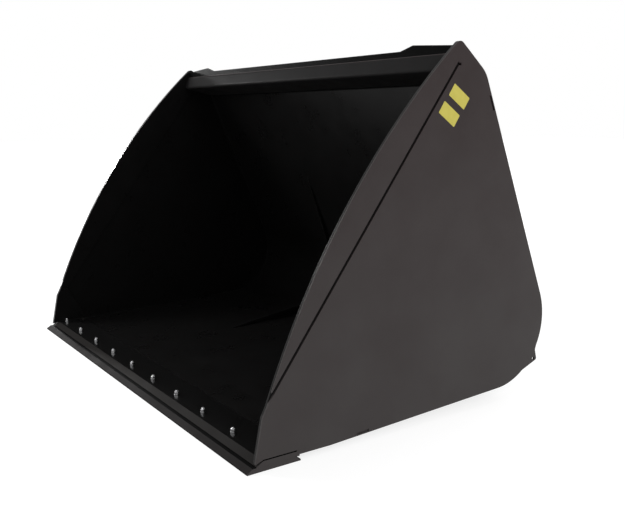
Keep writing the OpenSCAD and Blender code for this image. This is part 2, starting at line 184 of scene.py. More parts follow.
def bumps(tree, shader, layers):
    """Stacks bump layers, each a height source and how tall it is in metres."""
    last = None
    for height, tall in layers:
        made = add_node(tree, "Bump", Strength=1.0, Distance=tall)
        tree.links.new(height, made.inputs["Height"])
        if last is not None:
            tree.links.new(last.outputs["Normal"], made.inputs["Normal"])
        last = made
    tree.links.new(last.outputs["Normal"], shader.inputs["Normal"])


def height_share(tree, low, high):
    """1 at the low height and 0 at the high one."""
    place = add_node(tree, "TexCoord")
    parts = add_node(tree, "SeparateXYZ")
    tree.links.new(place.outputs["Object"], parts.inputs[0])
    return spread(tree, parts.outputs["Z"], (low, high), (1, 0))


def black_paint(name, tone, mottled, dust_and_low_light, rough, sheen, wave=0.0005, peel=0.00005, dust_and_light_top=0.95):
    """Sprayed black paint: mottled tone, a colour low down that is a breath of dust and, where it is strong,
    painted light below with painted shade at the top, orange peel and a slightly wavy sheet.
    """
    finish, tree, shader = new_finish(name)
    clouds = spread(tree, noise(tree, scale=4.2, detail=6, roughness=0.68), (0.34, 0.66))
    paint = blend_colours(tree, clouds, tone, mottled)
    low_dust_and_light = height_share(tree, DUST_AND_LIGHT_FOOT, dust_and_light_top)
    dust_and_light_patches = spread(tree, noise(tree, scale=3.1, detail=4), (0.25, 0.75), (0.55, 1))
    paint = blend_colours(tree, times(tree, low_dust_and_light, dust_and_light_patches), paint, dust_and_low_light)
    tree.links.new(paint, shader.inputs["Base Color"])
    streaks = noise(tree, scale=7.5, detail=6, roughness=0.65)
    tree.links.new(spread(tree, streaks, MIDDLE, (rough - 0.05, rough + 0.06)), shader.inputs["Roughness"])
    shader.inputs["Specular IOR Level"].default_value = sheen
    waves = noise(tree, scale=2.6, detail=2)
    pores = noise(tree, scale=620, detail=2)
    bumps(tree, shader, [(waves, wave * 4), (pores, peel)])
    return finish


def plated(name, colour, rough, grain):
    """Bright plated or machined steel."""
    finish, tree, shader = new_finish(name)
    patches = spread(tree, noise(tree, scale=90, detail=4), MIDDLE)
    darker = tuple(c * 0.82 for c in colour)
    tree.links.new(blend_colours(tree, patches, darker, colour), shader.inputs["Base Color"])
    wiped = noise(tree, scale=160, detail=3)
    tree.links.new(spread(tree, wiped, MIDDLE, (rough - 0.06, rough + 0.08)), shader.inputs["Roughness"])
    shader.inputs["Metallic"].default_value = 1
    bumps(tree, shader, [(noise(tree, scale=grain, detail=3), 0.00003)])
    return finish


def sticker_film(name, colour):
    """Coloured film, a little paler where it is worn."""
    finish, tree, shader = new_finish(name)
    worn = spread(tree, noise(tree, scale=35, detail=4), (0.35, 0.75), (0, 0.5))
    paler = tuple(min(1, c * 1.12 + 0.02) for c in colour)
    tree.links.new(blend_colours(tree, worn, colour, paler), shader.inputs["Base Color"])
    rubbed = noise(tree, scale=20, detail=3)
    tree.links.new(spread(tree, rubbed, MIDDLE, (0.32, 0.44)), shader.inputs["Roughness"])
    bumps(tree, shader, [(noise(tree, scale=240, detail=2), 0.00002)])
    return finish


# The colours of a paint are its tone, its mottling and its colour low down, which is dust and painted light
# The plate paint goes much lighter low down and darker at the top: painted light and painted shade for how
# the lamps fall on the plates
plate_paint = black_paint("plate_paint", (0.0240, 0.0168, 0.0168), (0.0325, 0.0250, 0.0250),
                          (0.0555, 0.0512, 0.0505), rough=0.42, sheen=0.15, dust_and_light_top=1.55)
# Painted shade: a far darker copy of the plate paint for the faces inside the bucket, where the hollow lies
# in shade
inside_shade_paint = black_paint("inside_shade_paint", (0.0048, 0.0046, 0.0046), (0.0062, 0.0060, 0.0060),
                          (0.0064, 0.0062, 0.0062), rough=0.30, sheen=0.12, wave=0.0003, peel=0.00002)
rail_paint = black_paint("rail_paint", (0.0165, 0.0160, 0.0161), (0.0200, 0.0194, 0.0195),
                         (0.0200, 0.0196, 0.0197), rough=0.36, sheen=0.016)
# Painted shade: a near-black, nearly matte paint for the lip's front, the blade's top in the gap under the
# base edge and the base edge's front land
deep_shade_paint = black_paint("deep_shade_paint", (0.0032, 0.0032, 0.0032), (0.0042, 0.0042, 0.0042),
                        (0.0042, 0.0042, 0.0042), rough=0.45, sheen=0.008)
blade_paint = black_paint("blade_paint", (0.0205, 0.0184, 0.0182), (0.0235, 0.0212, 0.0210),
                          (0.0235, 0.0218, 0.0216), rough=0.60, sheen=0.006)
base_paint = black_paint("base_paint", (0.0215, 0.0198, 0.0190), (0.0245, 0.0228, 0.0220),
                         (0.0245, 0.0232, 0.0224), rough=0.62, sheen=0.006)
# A glossy black that is partly painted light: darker than the base paint on the base edge's top, painted
# shade, and lighter than the inside paint on the heel ribs' free edges, a painted highlight
ledge_paint = black_paint("ledge_paint", (0.0078, 0.0076, 0.0076), (0.0094, 0.0092, 0.0092),
                          (0.0094, 0.0092, 0.0092), rough=0.12, sheen=0.40, wave=0.00002, peel=0.000004)
# Painted shade: a near-black copy of the outer weld paint, for the welds inside the bucket
weld_paint = black_paint("weld_paint", (0.0022, 0.0022, 0.0022), (0.0034, 0.0034, 0.0034),
                         (0.0034, 0.0034, 0.0034), rough=0.40, sheen=0.06, wave=0.0002, peel=0.0001)
# The outer welds copy the plate paint, with the same painted light low down and painted shade at the top
outer_weld_paint = black_paint("outer_weld_paint", (0.0235, 0.0170, 0.0170), (0.0315, 0.0245, 0.0245),
                               (0.0525, 0.0485, 0.0480), rough=0.40, sheen=0.15, wave=0.0002,
                               peel=0.0001, dust_and_light_top=1.55)
zinc = plated("zinc_plating", (0.70, 0.70, 0.71), rough=0.22, grain=900)
steel = plated("machined_steel", (0.52, 0.52, 0.53), rough=0.30, grain=1400)
yellow_film = sticker_film("yellow_film", (0.50, 0.44, 0.070))

# Making and placing pieces
SMOOTH = math.radians(40)
HARD = math.radians(28)
FLAT = math.radians(0.4)
SAME_PLACE = 0.00002
SAME_TURN = 0.000005
LOAD_MIDDLE = spot(0, 900, 700)
PLATE_ZONE = 25
SHEET_EASE = 0.8
LIP_EASE = 1.0
PLATE_EASE = 1.2
BAR_EASE = 1.5
RIPPLE = 3.2


def face_out(bm):
    """Turns every closed part of a mesh the right way out."""
    bmesh.ops.recalc_face_normals(bm, faces=bm.faces)
    waiting = set(bm.faces)
    while waiting:
        part = [waiting.pop()]
        volume = 0
        for face in part:
            first = face.verts[0].co
            for a, b in zip(face.verts[1:], face.verts[2:]):
                volume += first.dot(a.co.cross(b.co))
            for edge in face.edges:
                for other in edge.link_faces:
                    if other in waiting:
                        waiting.discard(other)
                        part.append(other)
        if volume < 0:
            bmesh.ops.reverse_faces(bm, faces=part)


def make_piece(name, bm, finish, stands_for=(), others=()):
    """Makes a bmesh a finished piece."""
    face_out(bm)
    mesh = bpy.data.meshes.new(name)
    bm.to_mesh(mesh)
    bm.free()
    return finish_piece(name, mesh, finish, stands_for, others)


def finish_piece(name, mesh, finish, stands_for=(), others=()):
    """Finishes a piece; the others are pairs of a finish and the faces it goes on."""
    for face in mesh.polygons:
        face.use_smooth = True
    mesh.set_sharp_from_angle(angle=SMOOTH)
    mesh.materials.clear()
    mesh.materials.append(finish)
    for number, (other, where) in enumerate(others, 1):
        mesh.materials.append(other)
        for face in mesh.polygons:
            if where(face.center, face.normal):
                face.material_index = number
    piece = bpy.data.objects.new(name, mesh)
    bpy.context.scene.collection.objects.link(piece)
    even = piece.modifiers.new("even_shading", "WEIGHTED_NORMAL")
    even.keep_sharp = True
    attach(piece, BODY)
    if stands_for:
        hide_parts(*stands_for)
    return piece


def faces_load(place, way):
    """Whether a face looks into the room for the load; these faces get the darker inside paint, which is
    painted shade.
    """
    if abs(place.x) > (plate_in_x - PLATE_ZONE) * MM:
        return way.x * place.x < -0.5 * abs(place.x)
    return way.dot(LOAD_MIDDLE - place) > 0.2


def faces_mouth(place, way):
    """Whether a face of the rail looks forward or down."""
    return way.y < -0.3 or way.z < -0.15


def not_behind(place, way):
    return way.y < 0.5


def faces_aside(place, way):
    return abs(way.x) > 0.5


def faces_in_line(place, way):
    return abs(way.x) < 0.5


def faces_up(place, way):
    return way.z > 0.95


def faces_ahead(place, way):
    return way.y < -0.9


def merged_copy(names):
    """The CAD nodes' meshes in one bmesh, with the loose triangles joined."""
    bm = bmesh.new()
    for name in names:
        bm.from_mesh(nodes[name].data)
    bmesh.ops.remove_doubles(bm, verts=bm.verts, dist=SAME_PLACE)
    return bm


def flatten(bm):
    """Turns the copy's triangles back into whole flat faces."""
    bmesh.ops.dissolve_limit(bm, angle_limit=FLAT, verts=bm.verts, edges=bm.edges,
                             use_dissolve_boundaries=False, delimit=set())


def ease(bm, width, left_sharp=None):
    """Rounds the hard edges, apart from those that are left sharp; the width is in millimetres."""
    hard = [e for e in bm.edges if len(e.link_faces) == 2 and e.calc_face_angle(0) > HARD]
    if left_sharp:
        hard = [e for e in hard if not left_sharp(e)]
    bmesh.ops.bevel(bm, geom=hard, offset=width * MM, offset_type="OFFSET", segments=2, profile=0.5,
                    affect="EDGES", clamp_overlap=True, material=-1)


def eased(name, names, width, finish, *others):
    """A piece in place of CAD nodes, of the same shape with its edges eased."""
    bm = merged_copy(names)
    flatten(bm)
    ease(bm, width)
    return make_piece(name, bm, finish, names, others)


def on_groove_seam(edge):
    """Whether an edge lies where plate and band butt together above the end of the groove."""
    foot = Vector(GROOVE_FOOT)
    way = Vector(GROOVE_END) - foot
    length = way.length
    way.normalize()
    for v in edge.verts:
        place = Vector(((v.co.y - tip_y) / MM, v.co.z / MM)) - foot
        off = place.x * way.y - place.y * way.x
        if abs(off - GROOVE_W / 2) >= 0.05 or place.dot(way) <= length - GROOVE_W * 0.2:
            return False
    return True


def beside_groove(name, node):
    """A plate or band, left sharp where the two butt together above the end of the groove."""
    bm = merged_copy([node])
    flatten(bm)
    ease(bm, PLATE_EASE, on_groove_seam)
    # The faces inside the bucket get the darker inside paint: painted shade.
    return make_piece(name, bm, plate_paint, [node], [(inside_shade_paint, faces_load)])


def turned(bm, profile, middle, axis, steps):
    """Spins a profile of (radius, along) points in millimetres about an axis through the middle."""
    axis = Vector(axis)
    side = Vector((0, 1, 0)) if abs(axis.y) < 0.5 else Vector((1, 0, 0))
    made = [bm.verts.new(middle + side * r * MM + axis * h * MM) for r, h in profile]
    closed = profile[0][0] > 0
    links = [bm.edges.new((a, b)) for a, b in zip(made, made[1:])]
    if closed:
        links.append(bm.edges.new((made[-1], made[0])))
    bmesh.ops.spin(bm, geom=made + links, cent=middle, axis=axis, angle=math.tau, steps=steps,
                   use_merge=True, use_duplicate=False)
    bmesh.ops.remove_doubles(bm, verts=bm.verts, dist=SAME_TURN)


def rounded(points, r):
    """Cuts each corner of a closed profile by r."""
    out = []
    count = len(points)
    for i in range(count):
        p = Vector(points[i])
        a = Vector(points[i - 1])
        b = Vector(points[(i + 1) % count])
        out.append(tuple(p + (a - p).normalized() * r))
        out.append(tuple(p + (b - p).normalized() * r))
    return out


chance = random.Random(7)


def weld_bead(name, runs, leg, finish=weld_paint):
    """Rippled fillet beads laid along the given runs of places."""
    curve = bpy.data.curves.new(name, "CURVE")
    curve.dimensions = "3D"
    curve.bevel_depth = leg * MM
    curve.bevel_resolution = 1
    curve.use_fill_caps = True
    for run in runs:
        steps = []
        for a, b in zip(run, run[1:]):
            count = max(1, round((b - a).length / (RIPPLE * MM)))
            steps += [a.lerp(b, i / count) for i in range(count)]
        steps.append(run[-1])
        line = curve.splines.new("POLY")
        line.points.add(len(steps) - 1)
        for i, place in enumerate(steps):
            line.points[i].co = (*place, 1)
            line.points[i].radius = 0.94 + 0.06 * (i % 2) + chance.uniform(-0.04, 0.04)
    holder = bpy.data.objects.new(name + "_line", curve)
    bpy.context.scene.collection.objects.link(holder)
    mesh = bpy.data.meshes.new_from_object(holder)
    bpy.data.objects.remove(holder)
    mesh.name = name
    return finish_piece(name, mesh, finish)


# Plates and sheets
beside_groove("side_plate_right_cut", "side_plate_right")
beside_groove("side_plate_left_cut", "side_plate_left")
beside_groove("front_band_right_cut", "front_band_right")
beside_groove("front_band_left_cut", "front_band_left")
# The doublers, corner plates and rail stiffeners inside the bucket are wholly in the darker inside paint, and
# the sheets' inner faces too: painted shade
eased("edge_doubler_right_plate", ["edge_doubler_right"], PLATE_EASE, inside_shade_paint)
eased("edge_doubler_left_plate", ["edge_doubler_left"], PLATE_EASE, inside_shade_paint)
eased("corner_plate_right_cut", ["corner_plate_right"], PLATE_EASE, inside_shade_paint)
eased("corner_plate_left_cut", ["corner_plate_left"], PLATE_EASE, inside_shade_paint)
eased("floor_and_heel", ["floor_sheet"], SHEET_EASE, plate_paint, (inside_shade_paint, faces_load))
eased("back_sheet_plain", ["back_sheet"], SHEET_EASE, plate_paint, (inside_shade_paint, faces_load))
eased("top_rail_folded", ["top_rail"], SHEET_EASE, plate_paint, (rail_paint, faces_mouth))
# The lip's faces that don't look back get painted shade.
eased("top_lip_bar", ["top_lip"], LIP_EASE, plate_paint, (deep_shade_paint, not_behind))
eased("rail_end_caps", ["rail_end_plates"], SHEET_EASE, rail_paint)
eased("rail_stiffeners", ["rail_diaphragms"], SHEET_EASE, inside_shade_paint)
# The blade's top and the base edge's front land, in the gap between them, get painted shade.
eased("cutting_blade", ["cutting_edge"], BAR_EASE, blade_paint,
      (plate_paint, faces_aside), (deep_shade_paint, faces_up))
# The base edge's top is in the darker glossy ledge paint: painted shade.
eased("base_edge_bar", ["base_edge"], BAR_EASE, base_paint,
      (plate_paint, faces_aside), (ledge_paint, faces_up), (deep_shade_paint, faces_ahead))
eased("floor_runner_bars", ["floor_runners"], PLATE_EASE, plate_paint)
eased("wear_strip_bars", ["wear_strips"], BAR_EASE, plate_paint)
eased("back_rib_plates", ["back_ribs"], PLATE_EASE, plate_paint)
eased("hitch_pad_plates", ["hitch_pads"], BAR_EASE, plate_paint)
eased("hitch_cheek_plates", ["hitch_cheeks"], BAR_EASE, plate_paint)
eased("hitch_tie_bars", ["hitch_tie_plates"], PLATE_EASE, plate_paint)

# Curved ribs inside the heel, tapering out along the floor and up the back
HEEL_RIB_X = 393
HEEL_RIB_T = 8
HEEL_RIB_FRONT = 846
HEEL_RIB_TOP = 922
RIB_EDGE_R = 270
RIB_EDGE_Y = 1278.5
RIB_EDGE_Z = 402.1
RIB_EDGE_RISE = math.radians(10)
RIB_EDGE_LEAN = math.radians(20.2)
RIB_FRONT_STEP = (-2, 4)
RIB_TOP_STEP = (-2.5, 4)


def heel_rib_edges():
    """The foot of a rib on the shell and its free edge, each with the same number of places."""
    foot = shell_run(INNER, HEEL_RIB_FRONT, HEEL_RIB_TOP)
    bends = len(foot) - 2
    start = math.radians(-90) + RIB_EDGE_RISE
    free = [(foot[0][0] + RIB_FRONT_STEP[0], foot[0][1] + RIB_FRONT_STEP[1])]
    for i in range(bends):
        a = start + (RIB_EDGE_LEAN - start) * i / (bends - 1)
        free.append((RIB_EDGE_Y + RIB_EDGE_R * math.cos(a), RIB_EDGE_Z + RIB_EDGE_R * math.sin(a)))
    free.append((foot[-1][0] + RIB_TOP_STEP[0], foot[-1][1] + RIB_TOP_STEP[1]))
    return foot, free


bm = bmesh.new()
for side in (-1, 1):
    rows = []
    for run in heel_rib_edges():
        places = [bm.verts.new(p) for p in at_x(side * HEEL_RIB_X - HEEL_RIB_T / 2, run)]
        rows += [bm.edges.new(pair) for pair in zip(places, places[1:])]
    plate = bmesh.ops.bridge_loops(bm, edges=rows)["faces"]
    grown = bmesh.ops.extrude_face_region(bm, geom=plate, use_keep_orig=True)
    shifted = [g for g in grown["geom"] if isinstance(g, bmesh.types.BMVert)]
    bmesh.ops.translate(bm, vec=(HEEL_RIB_T * MM, 0, 0), verts=shifted)
ease(bm, SHEET_EASE)
# The heel ribs are in the darker inside paint, painted shade, and their free edges in the lighter glossy
# ledge paint, a painted highlight
make_piece("inner_heel_ribs", bm, inside_shade_paint, others=((ledge_paint, faces_in_line),))

# Bolts, nuts and washers along the blade
BOLT_D = 16
BOLT_END_D = 12.4
BOLT_COUNT = 10
BOLT_Y = 112
BOLT_MARGIN = 41.5
BOLT_ABOVE_NUT = 6
BOLT_TIP_CUT = 1.6
BOLT_TIP_LENGTH = 2
SHANK_BELOW = 1.8
THREAD_PITCH = 1.75
THREAD_DEPTH = 0.9
HEAD_PROFILE = [(BOLT_D / 2, 9.4), (15.1, 0.8), (14.9, 0.25), (0, 0.25)]
WASHER_T = 2.4
WASHER_R = 11.4
WASHER_PLAY = 0.5
WASHER_ROUND = 0.4
NUT_AF = 19
NUT_H = 11.5
NUT_PLAY = 0.2
NUT_BORE_CUT = 1
NUT_TOP_SHARE = 0.94
NUT_SIDE_SHARE = 0.9
NUT_CUT_STEPS = 4
NUT_TWIST = 25
SIXTH = math.radians(60)
UP = (0, 0, 1)
bolt_pitch = (2 * side_x - 2 * BOLT_MARGIN) / (BOLT_COUNT - 1)
bolt_xs = [(i - (BOLT_COUNT - 1) / 2) * bolt_pitch for i in range(BOLT_COUNT)]


def thread(r, low, high):
    """A bolt's thread as rings, from the top down."""
    out = []
    h = high
    while h > low + THREAD_PITCH:
        out += [(r, h), (r, h - THREAD_PITCH * 0.2), (r - THREAD_DEPTH, h - THREAD_PITCH * 0.6)]
        h -= THREAD_PITCH
    return out


bm = bmesh.new()
for x in bolt_xs:
    top = base_top + WASHER_T + NUT_H + BOLT_ABOVE_NUT
    end = BOLT_END_D / 2
    profile = [(0, top), (end - BOLT_TIP_CUT, top), (end, top - BOLT_TIP_CUT)]
    profile += thread(end, base_top + NUT_H, top - BOLT_TIP_LENGTH)
    profile += [(end, base_top + NUT_H), (end, base_top), (BOLT_D / 2, base_top - SHANK_BELOW)]
    turned(bm, profile + HEAD_PROFILE, spot(x, BOLT_Y, 0), UP, steps=32)
make_piece("edge_bolts_threaded", bm, zinc, ["edge_bolts"])

bm = bmesh.new()
for x in bolt_xs:
    hole = BOLT_END_D / 2 + WASHER_PLAY
    ring = rounded([(hole, 0), (WASHER_R, 0), (WASHER_R, WASHER_T), (hole, WASHER_T)], WASHER_ROUND)
    turned(bm, ring, spot(x, BOLT_Y, base_top), UP, steps=40)
make_piece("edge_washers_pressed", bm, zinc, ["edge_washers"])

# Each nut is turned round, then its sides are cut flat and it gets a twist of its own
bm = bmesh.new()
flat = NUT_AF / 2
top_r = flat * NUT_TOP_SHARE
slope = flat / math.cos(SIXTH / 2) - top_r
drop = slope * math.tan(SIXTH / 2)
bore = BOLT_END_D / 2 + NUT_PLAY
ring = [(bore, NUT_BORE_CUT), (bore + NUT_BORE_CUT, 0)]
for k in range(NUT_CUT_STEPS + 1):
    ring.append((top_r + slope * k / NUT_CUT_STEPS, drop * k / NUT_CUT_STEPS))
ring += [(r, NUT_H - h) for r, h in reversed(ring)]
for x in bolt_xs:
    middle = spot(x, BOLT_Y, base_top + WASHER_T)
    before = set(bm.verts)
    turned(bm, ring, middle, UP, steps=48)
    fresh = [v for v in bm.verts if v not in before]
    for v in fresh:
        away = Vector((v.co.x - middle.x, v.co.y - middle.y))
        if away.length > flat * NUT_SIDE_SHARE * MM:
            bearing = (math.atan2(away.y, away.x) + SIXTH / 2) % SIXTH - SIXTH / 2
            away = away.normalized() * min(away.length, flat * MM / math.cos(bearing))
            v.co.x = middle.x + away.x
            v.co.y = middle.y + away.y
    twist = Matrix.Rotation(math.radians(chance.uniform(-NUT_TWIST, NUT_TWIST)), 3, "Z")
    bmesh.ops.rotate(bm, verts=fresh, cent=middle, matrix=twist)
make_piece("edge_nuts_chamfered", bm, zinc, ["edge_nuts"])

# Small caps in the rear corners of the base edge
CAP_OFF = 22 * 0.7
CAP_DOME = [(0, 5), (4, 4.9), (7, 4.3), (9.2, 3.0), (10.6, 1.6), (11, 0.2), (10.4, -1), (0, -1)]
bm = bmesh.new()
for side in (-1, 1):
    turned(bm, CAP_DOME, spot(side * (doubler_in_x - CAP_OFF), base_rear - CAP_OFF, base_top), UP, steps=36)
make_piece("corner_caps", bm, base_paint, ["corner_plugs"])

# Pins, bushes and the tube of the hitch
HITCH_X = 330
HITCH_GAP = 90
CHEEK_T = 20
CHEEK_REAR = 70
HOOK_Z = 860
BUSH_Z = 300
PIN_R = 25
PIN_NECK_R = 20
PIN_PAST = 8
BUSH_R = 40
BUSH_PAST = 8
TUBE_R = 51
TUBE_IN_R = 43
ALONG = (1, 0, 0)
hitch_y = (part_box("hitch_cheeks")[1].y - tip_y) / MM - CHEEK_REAR
half_gap = HITCH_GAP / 2

bm = bmesh.new()
for side in (-1, 1):
    end = half_gap + CHEEK_T + PIN_PAST
    face = half_gap + 0.2
    bar = [(0, -end), (PIN_NECK_R - 3, -end), (PIN_NECK_R, -end + 3), (PIN_NECK_R, -face)]
    bar += [(PIN_R - 1.5, -face), (PIN_R, -half_gap + 1.5)]
    bar += [(r, -h) for r, h in reversed(bar)]
    turned(bm, bar, spot(side * HITCH_X, hitch_y, HOOK_Z), ALONG, steps=56)
make_piece("hitch_hook_bars", bm, steel, ["hitch_top_pins"])

bm = bmesh.new()
for side in (-1, 1):
    for cheek in (-1, 1):
        end = CHEEK_T / 2 + BUSH_PAST
        x = side * HITCH_X + cheek * (HITCH_GAP + CHEEK_T) / 2
        ring = rounded([(PIN_R, -end), (BUSH_R, -end), (BUSH_R, end), (PIN_R, end)], 2)
        turned(bm, ring, spot(x, hitch_y, BUSH_Z), ALONG, steps=64)
make_piece("hitch_bored_bushes", bm, steel, ["hitch_lower_bushes"])

tube_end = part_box("hitch_cross_tube")[1].x / MM
tube_y = HEEL_Y + HEEL_R - 4
tube_z = HEEL_Z + HEEL_R * 0.85
bm = bmesh.new()
ring = rounded([(TUBE_IN_R, -tube_end), (TUBE_R, -tube_end), (TUBE_R, tube_end), (TUBE_IN_R, tube_end)], 1)
turned(bm, ring, spot(0, tube_y, tube_z), ALONG, steps=64)
make_piece("hitch_round_tube", bm, plate_paint, ["hitch_cross_tube"])

# Welds, each run a little proud of the corner that it fills and a little short of the plates' ends
PROUD = 0.5
SHORT = 4
BACK_TOP_Z = 1452
RAIL_FOOT_Z = 1424
RAIL_FOLD_Z = 67
RAIL_FOLD_Y = 24
WEB = 6
PAD_T = 10
PAD_Z = (520, 1080)
CHEEK_FOOT_Z = 219
CHEEK_TOP_Z = 1046
REAR_HALF_Y = 1200
RIB_UPPER_Z = 600
RUNNER_TOP_Z = 100
CORNER_RUN_Y = 75
RING_STEPS = 40
WEAR_TOP_Z = 12.5
RUNNER_SHARES = (0.27, 0.53, 0.86)


def box_mm(node):
    """A node's box in millimetres, y counted behind the blade tip."""
    low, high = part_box(node)
    return (Vector((low.x, low.y - tip_y, low.z)) / MM, Vector((high.x, high.y - tip_y, high.z)) / MM)


def both(right):
    """The runs of the right half and their mirror image."""
    return right + [[Vector((-p.x, p.y, p.z)) for p in run] for run in right]


def beside(xs, off, run):
    """A run on either side of each place across the bucket."""
    return [at_x(x + s * off, run) for x in xs for s in (-1, 1)]


def ring_of(x, y, z, r):
    """A circle round a pin, bush or tube."""
    turns = [math.tau * i / RING_STEPS for i in range(RING_STEPS + 1)]
    return [spot(x, y + r * math.cos(a), z + r * math.sin(a)) for a in turns]


# The welds inside take the default, the near-black weld paint: painted shade.
inside_run = shell_run(INNER + 1, base_rear + SHORT, RAIL_FOOT_Z)
weld_bead("shell_inside_welds", both([at_x(plate_in_x - PROUD, inside_run)]), 5)
outside_run = shell_run(SHELL_INSET - PROUD, base_rear + 2 * SHORT, BACK_TOP_Z)
weld_bead("shell_outside_welds", both([at_x(plate_in_x - PROUD, outside_run)]), 4.5, outer_weld_paint)
weld_bead("floor_front_weld", [across(doubler_in_x - SHORT, base_rear, base_top - 3.4)], 4.4)
seam_y = back_at(SEAM_Z, SHELL_INSET)
weld_bead("sheet_seam_weld", [across(plate_in_x - 5, seam_y - 3, SEAM_Z)], 4.6)
rail_foot_y = back_at(RAIL_FOOT_Z + 2, INNER) - 1.5
weld_bead("rail_under_weld", [across(doubler_in_x - 2, rail_foot_y, RAIL_FOOT_Z + PROUD)], 5)

lip_low, lip_high = box_mm("top_lip")
lip_ys = (lip_low.y - PROUD, lip_high.y + PROUD)
weld_bead("lip_welds", [across(lip_high.x - 3, y, lip_low.z + PROUD) for y in lip_ys], 3.6, outer_weld_paint)
rail_low, rail_high = box_mm("top_rail")
rail_end = [(rail_low.y, rail_high.z - RAIL_FOLD_Z), (rail_low.y + RAIL_FOLD_Y, rail_high.z)]
rail_end.append((lip_high.y + 8, rail_high.z))
weld_bead("rail_end_welds", both([at_x(doubler_in_x - PROUD, rail_end)]), 4)
corner_rear = box_mm("corner_plate_right")[1].y
corner_run = [(CORNER_RUN_Y, base_top + PROUD), (corner_rear - 14, base_top + PROUD)]
weld_bead("corner_plate_welds", both([at_x(doubler_in_x - 1, corner_run)]), 3.6)

runner_low, runner_high = box_mm("floor_runners")
runner_xs = [share * side_x for share in RUNNER_SHARES]
runner_end = runner_high.y - SHORT
under = shell_run(SHELL_INSET - PROUD, runner_low.y + SHORT, SEAM_Z)
under = [p for p in under if p[0] < runner_end and p[1] < RUNNER_TOP_Z]
under.append((runner_end, floor_at(runner_high.y, SHELL_INSET)))
weld_bead("runner_welds", both(beside(runner_xs, WEB + PROUD, under)), 3.6, outer_weld_paint)
wear_run = [(runner_low.y + 6, WEAR_TOP_Z), (runner_high.y - 6, WEAR_TOP_Z)]
weld_bead("wear_strip_welds", both(beside(runner_xs, WEB + PROUD, wear_run)), 3.4, outer_weld_paint)
rib_high = box_mm("back_ribs")[1]
rib_run = shell_run(SHELL_INSET - PROUD, REAR_HALF_Y, rib_high.z - 3)
rib_run = [p for p in rib_run if p[0] > runner_high.y or p[1] > RIB_UPPER_Z]
weld_bead("rib_welds", both(beside(runner_xs[1:], WEB + PROUD, rib_run)), 3.6, outer_weld_paint)

pad_half = box_mm("hitch_pads")[1].x - HITCH_X
pad_edge = [(back_at(z, SHELL_INSET - PROUD), z) for z in PAD_Z]
pad_runs = beside([HITCH_X], pad_half + PROUD, pad_edge)
pad_runs += [[spot(HITCH_X - pad_half, y, z), spot(HITCH_X + pad_half, y, z)] for y, z in pad_edge]
weld_bead("pad_welds", both(pad_runs), 4, outer_weld_paint)
cheek_run = shell_run(SHELL_INSET - PROUD, REAR_HALF_Y, PAD_Z[0] - SHORT)
cheek_run = [p for p in cheek_run if p[0] > HEEL_Y and p[1] > CHEEK_FOOT_Z]
cheek_run += [(back_at(z, SHELL_INSET - PAD_T - PROUD), z) for z in (PAD_Z[0] + 2, CHEEK_TOP_Z)]
cheek_faces = [HITCH_X + s * (half_gap + t) for s in (-1, 1) for t in (-PROUD, CHEEK_T + PROUD)]
weld_bead("cheek_welds", both([at_x(x, cheek_run) for x in cheek_faces]), 4.4, outer_weld_paint)
weld_bead("tube_welds", both([ring_of(tube_end - PROUD, tube_y, tube_z, TUBE_R)]), 4.4, outer_weld_paint)
tie_low, tie_high = box_mm("hitch_tie_plates")
tie_runs = [[(y, tie_low.z + 2), (y, tie_high.z - 2)] for y in (tie_low.y - PROUD, tie_high.y + PROUD)]
tie_ends = [HITCH_X + s * (half_gap - PROUD) for s in (-1, 1)]
weld_bead("tie_welds", both([at_x(x, run) for x in tie_ends for run in tie_runs]), 3.4, outer_weld_paint)
outer_faces = [HITCH_X + s * (half_gap + CHEEK_T + PROUD) for s in (-1, 1)]
pin_rings = [ring_of(x, hitch_y, HOOK_Z, PIN_NECK_R) for x in outer_faces]
weld_bead("pin_welds", both(pin_rings), 4, outer_weld_paint)
bush_rings = [ring_of(x, hitch_y, BUSH_Z, BUSH_R) for x in cheek_faces]
weld_bead("bush_welds", both(bush_rings), 4, outer_weld_paint)

# Blank stickers near the top of the right plate, each with its middle behind the blade tip and its height
STICKERS = {"sticker_upper": (1013, 1364.5), "sticker_lower": (960, 1294.8)}
STICKER_L = 104
STICKER_W = 56
STICKER_T = 0.35
STICKER_ROUND = 4
STICKER_TILT = math.radians(-34)
ON_RIGHT_PLATE = Matrix(((0, 0, 1), (1, 0, 0), (0, 1, 0)))
for name, (y, z) in STICKERS.items():
    bm = bmesh.new()
    bmesh.ops.create_grid(bm, x_segments=1, y_segments=1, size=0.5)
    bmesh.ops.scale(bm, vec=(STICKER_L * MM, STICKER_W * MM, 1), verts=bm.verts)
    bmesh.ops.bevel(bm, geom=bm.verts[:], offset=STICKER_ROUND * MM, offset_type="OFFSET", segments=4,
                    profile=0.5, affect="VERTICES", material=-1)
    grown = bmesh.ops.extrude_face_region(bm, geom=bm.faces[:])
    lifted = [g for g in grown["geom"] if isinstance(g, bmesh.types.BMVert)]
    bmesh.ops.translate(bm, vec=(0, 0, STICKER_T * MM), verts=lifted)
    bmesh.ops.rotate(bm, verts=bm.verts, cent=(0, 0, 0), matrix=Matrix.Rotation(STICKER_TILT, 3, "Z"))
    bmesh.ops.rotate(bm, verts=bm.verts, cent=(0, 0, 0), matrix=ON_RIGHT_PLATE)
    bmesh.ops.translate(bm, vec=spot(side_x, y, z), verts=bm.verts)
    make_piece(name, bm, yellow_film)

# Studio: a plain floor and air that are white to the camera and in reflections, and dim as light
FLOOR_SIZE = 80
FLOOR_DOWN = 0.0005
AIR_LIGHT = 0.35


def seen_share(tree):
    """1 for what the camera sees straight, in a reflection or through glass."""
    path = add_node(tree, "LightPath")
    first = add_node(tree, "Math", operation="MAXIMUM")
    tree.links.new(path.outputs["Is Camera Ray"], first.inputs[0])
    tree.links.new(path.outputs["Is Glossy Ray"], first.inputs[1])
    second = add_node(tree, "Math", operation="MAXIMUM")
    tree.links.new(first.outputs[0], second.inputs[0])
    tree.links.new(path.outputs["Is Transmission Ray"], second.inputs[1])
    return second.outputs[0]


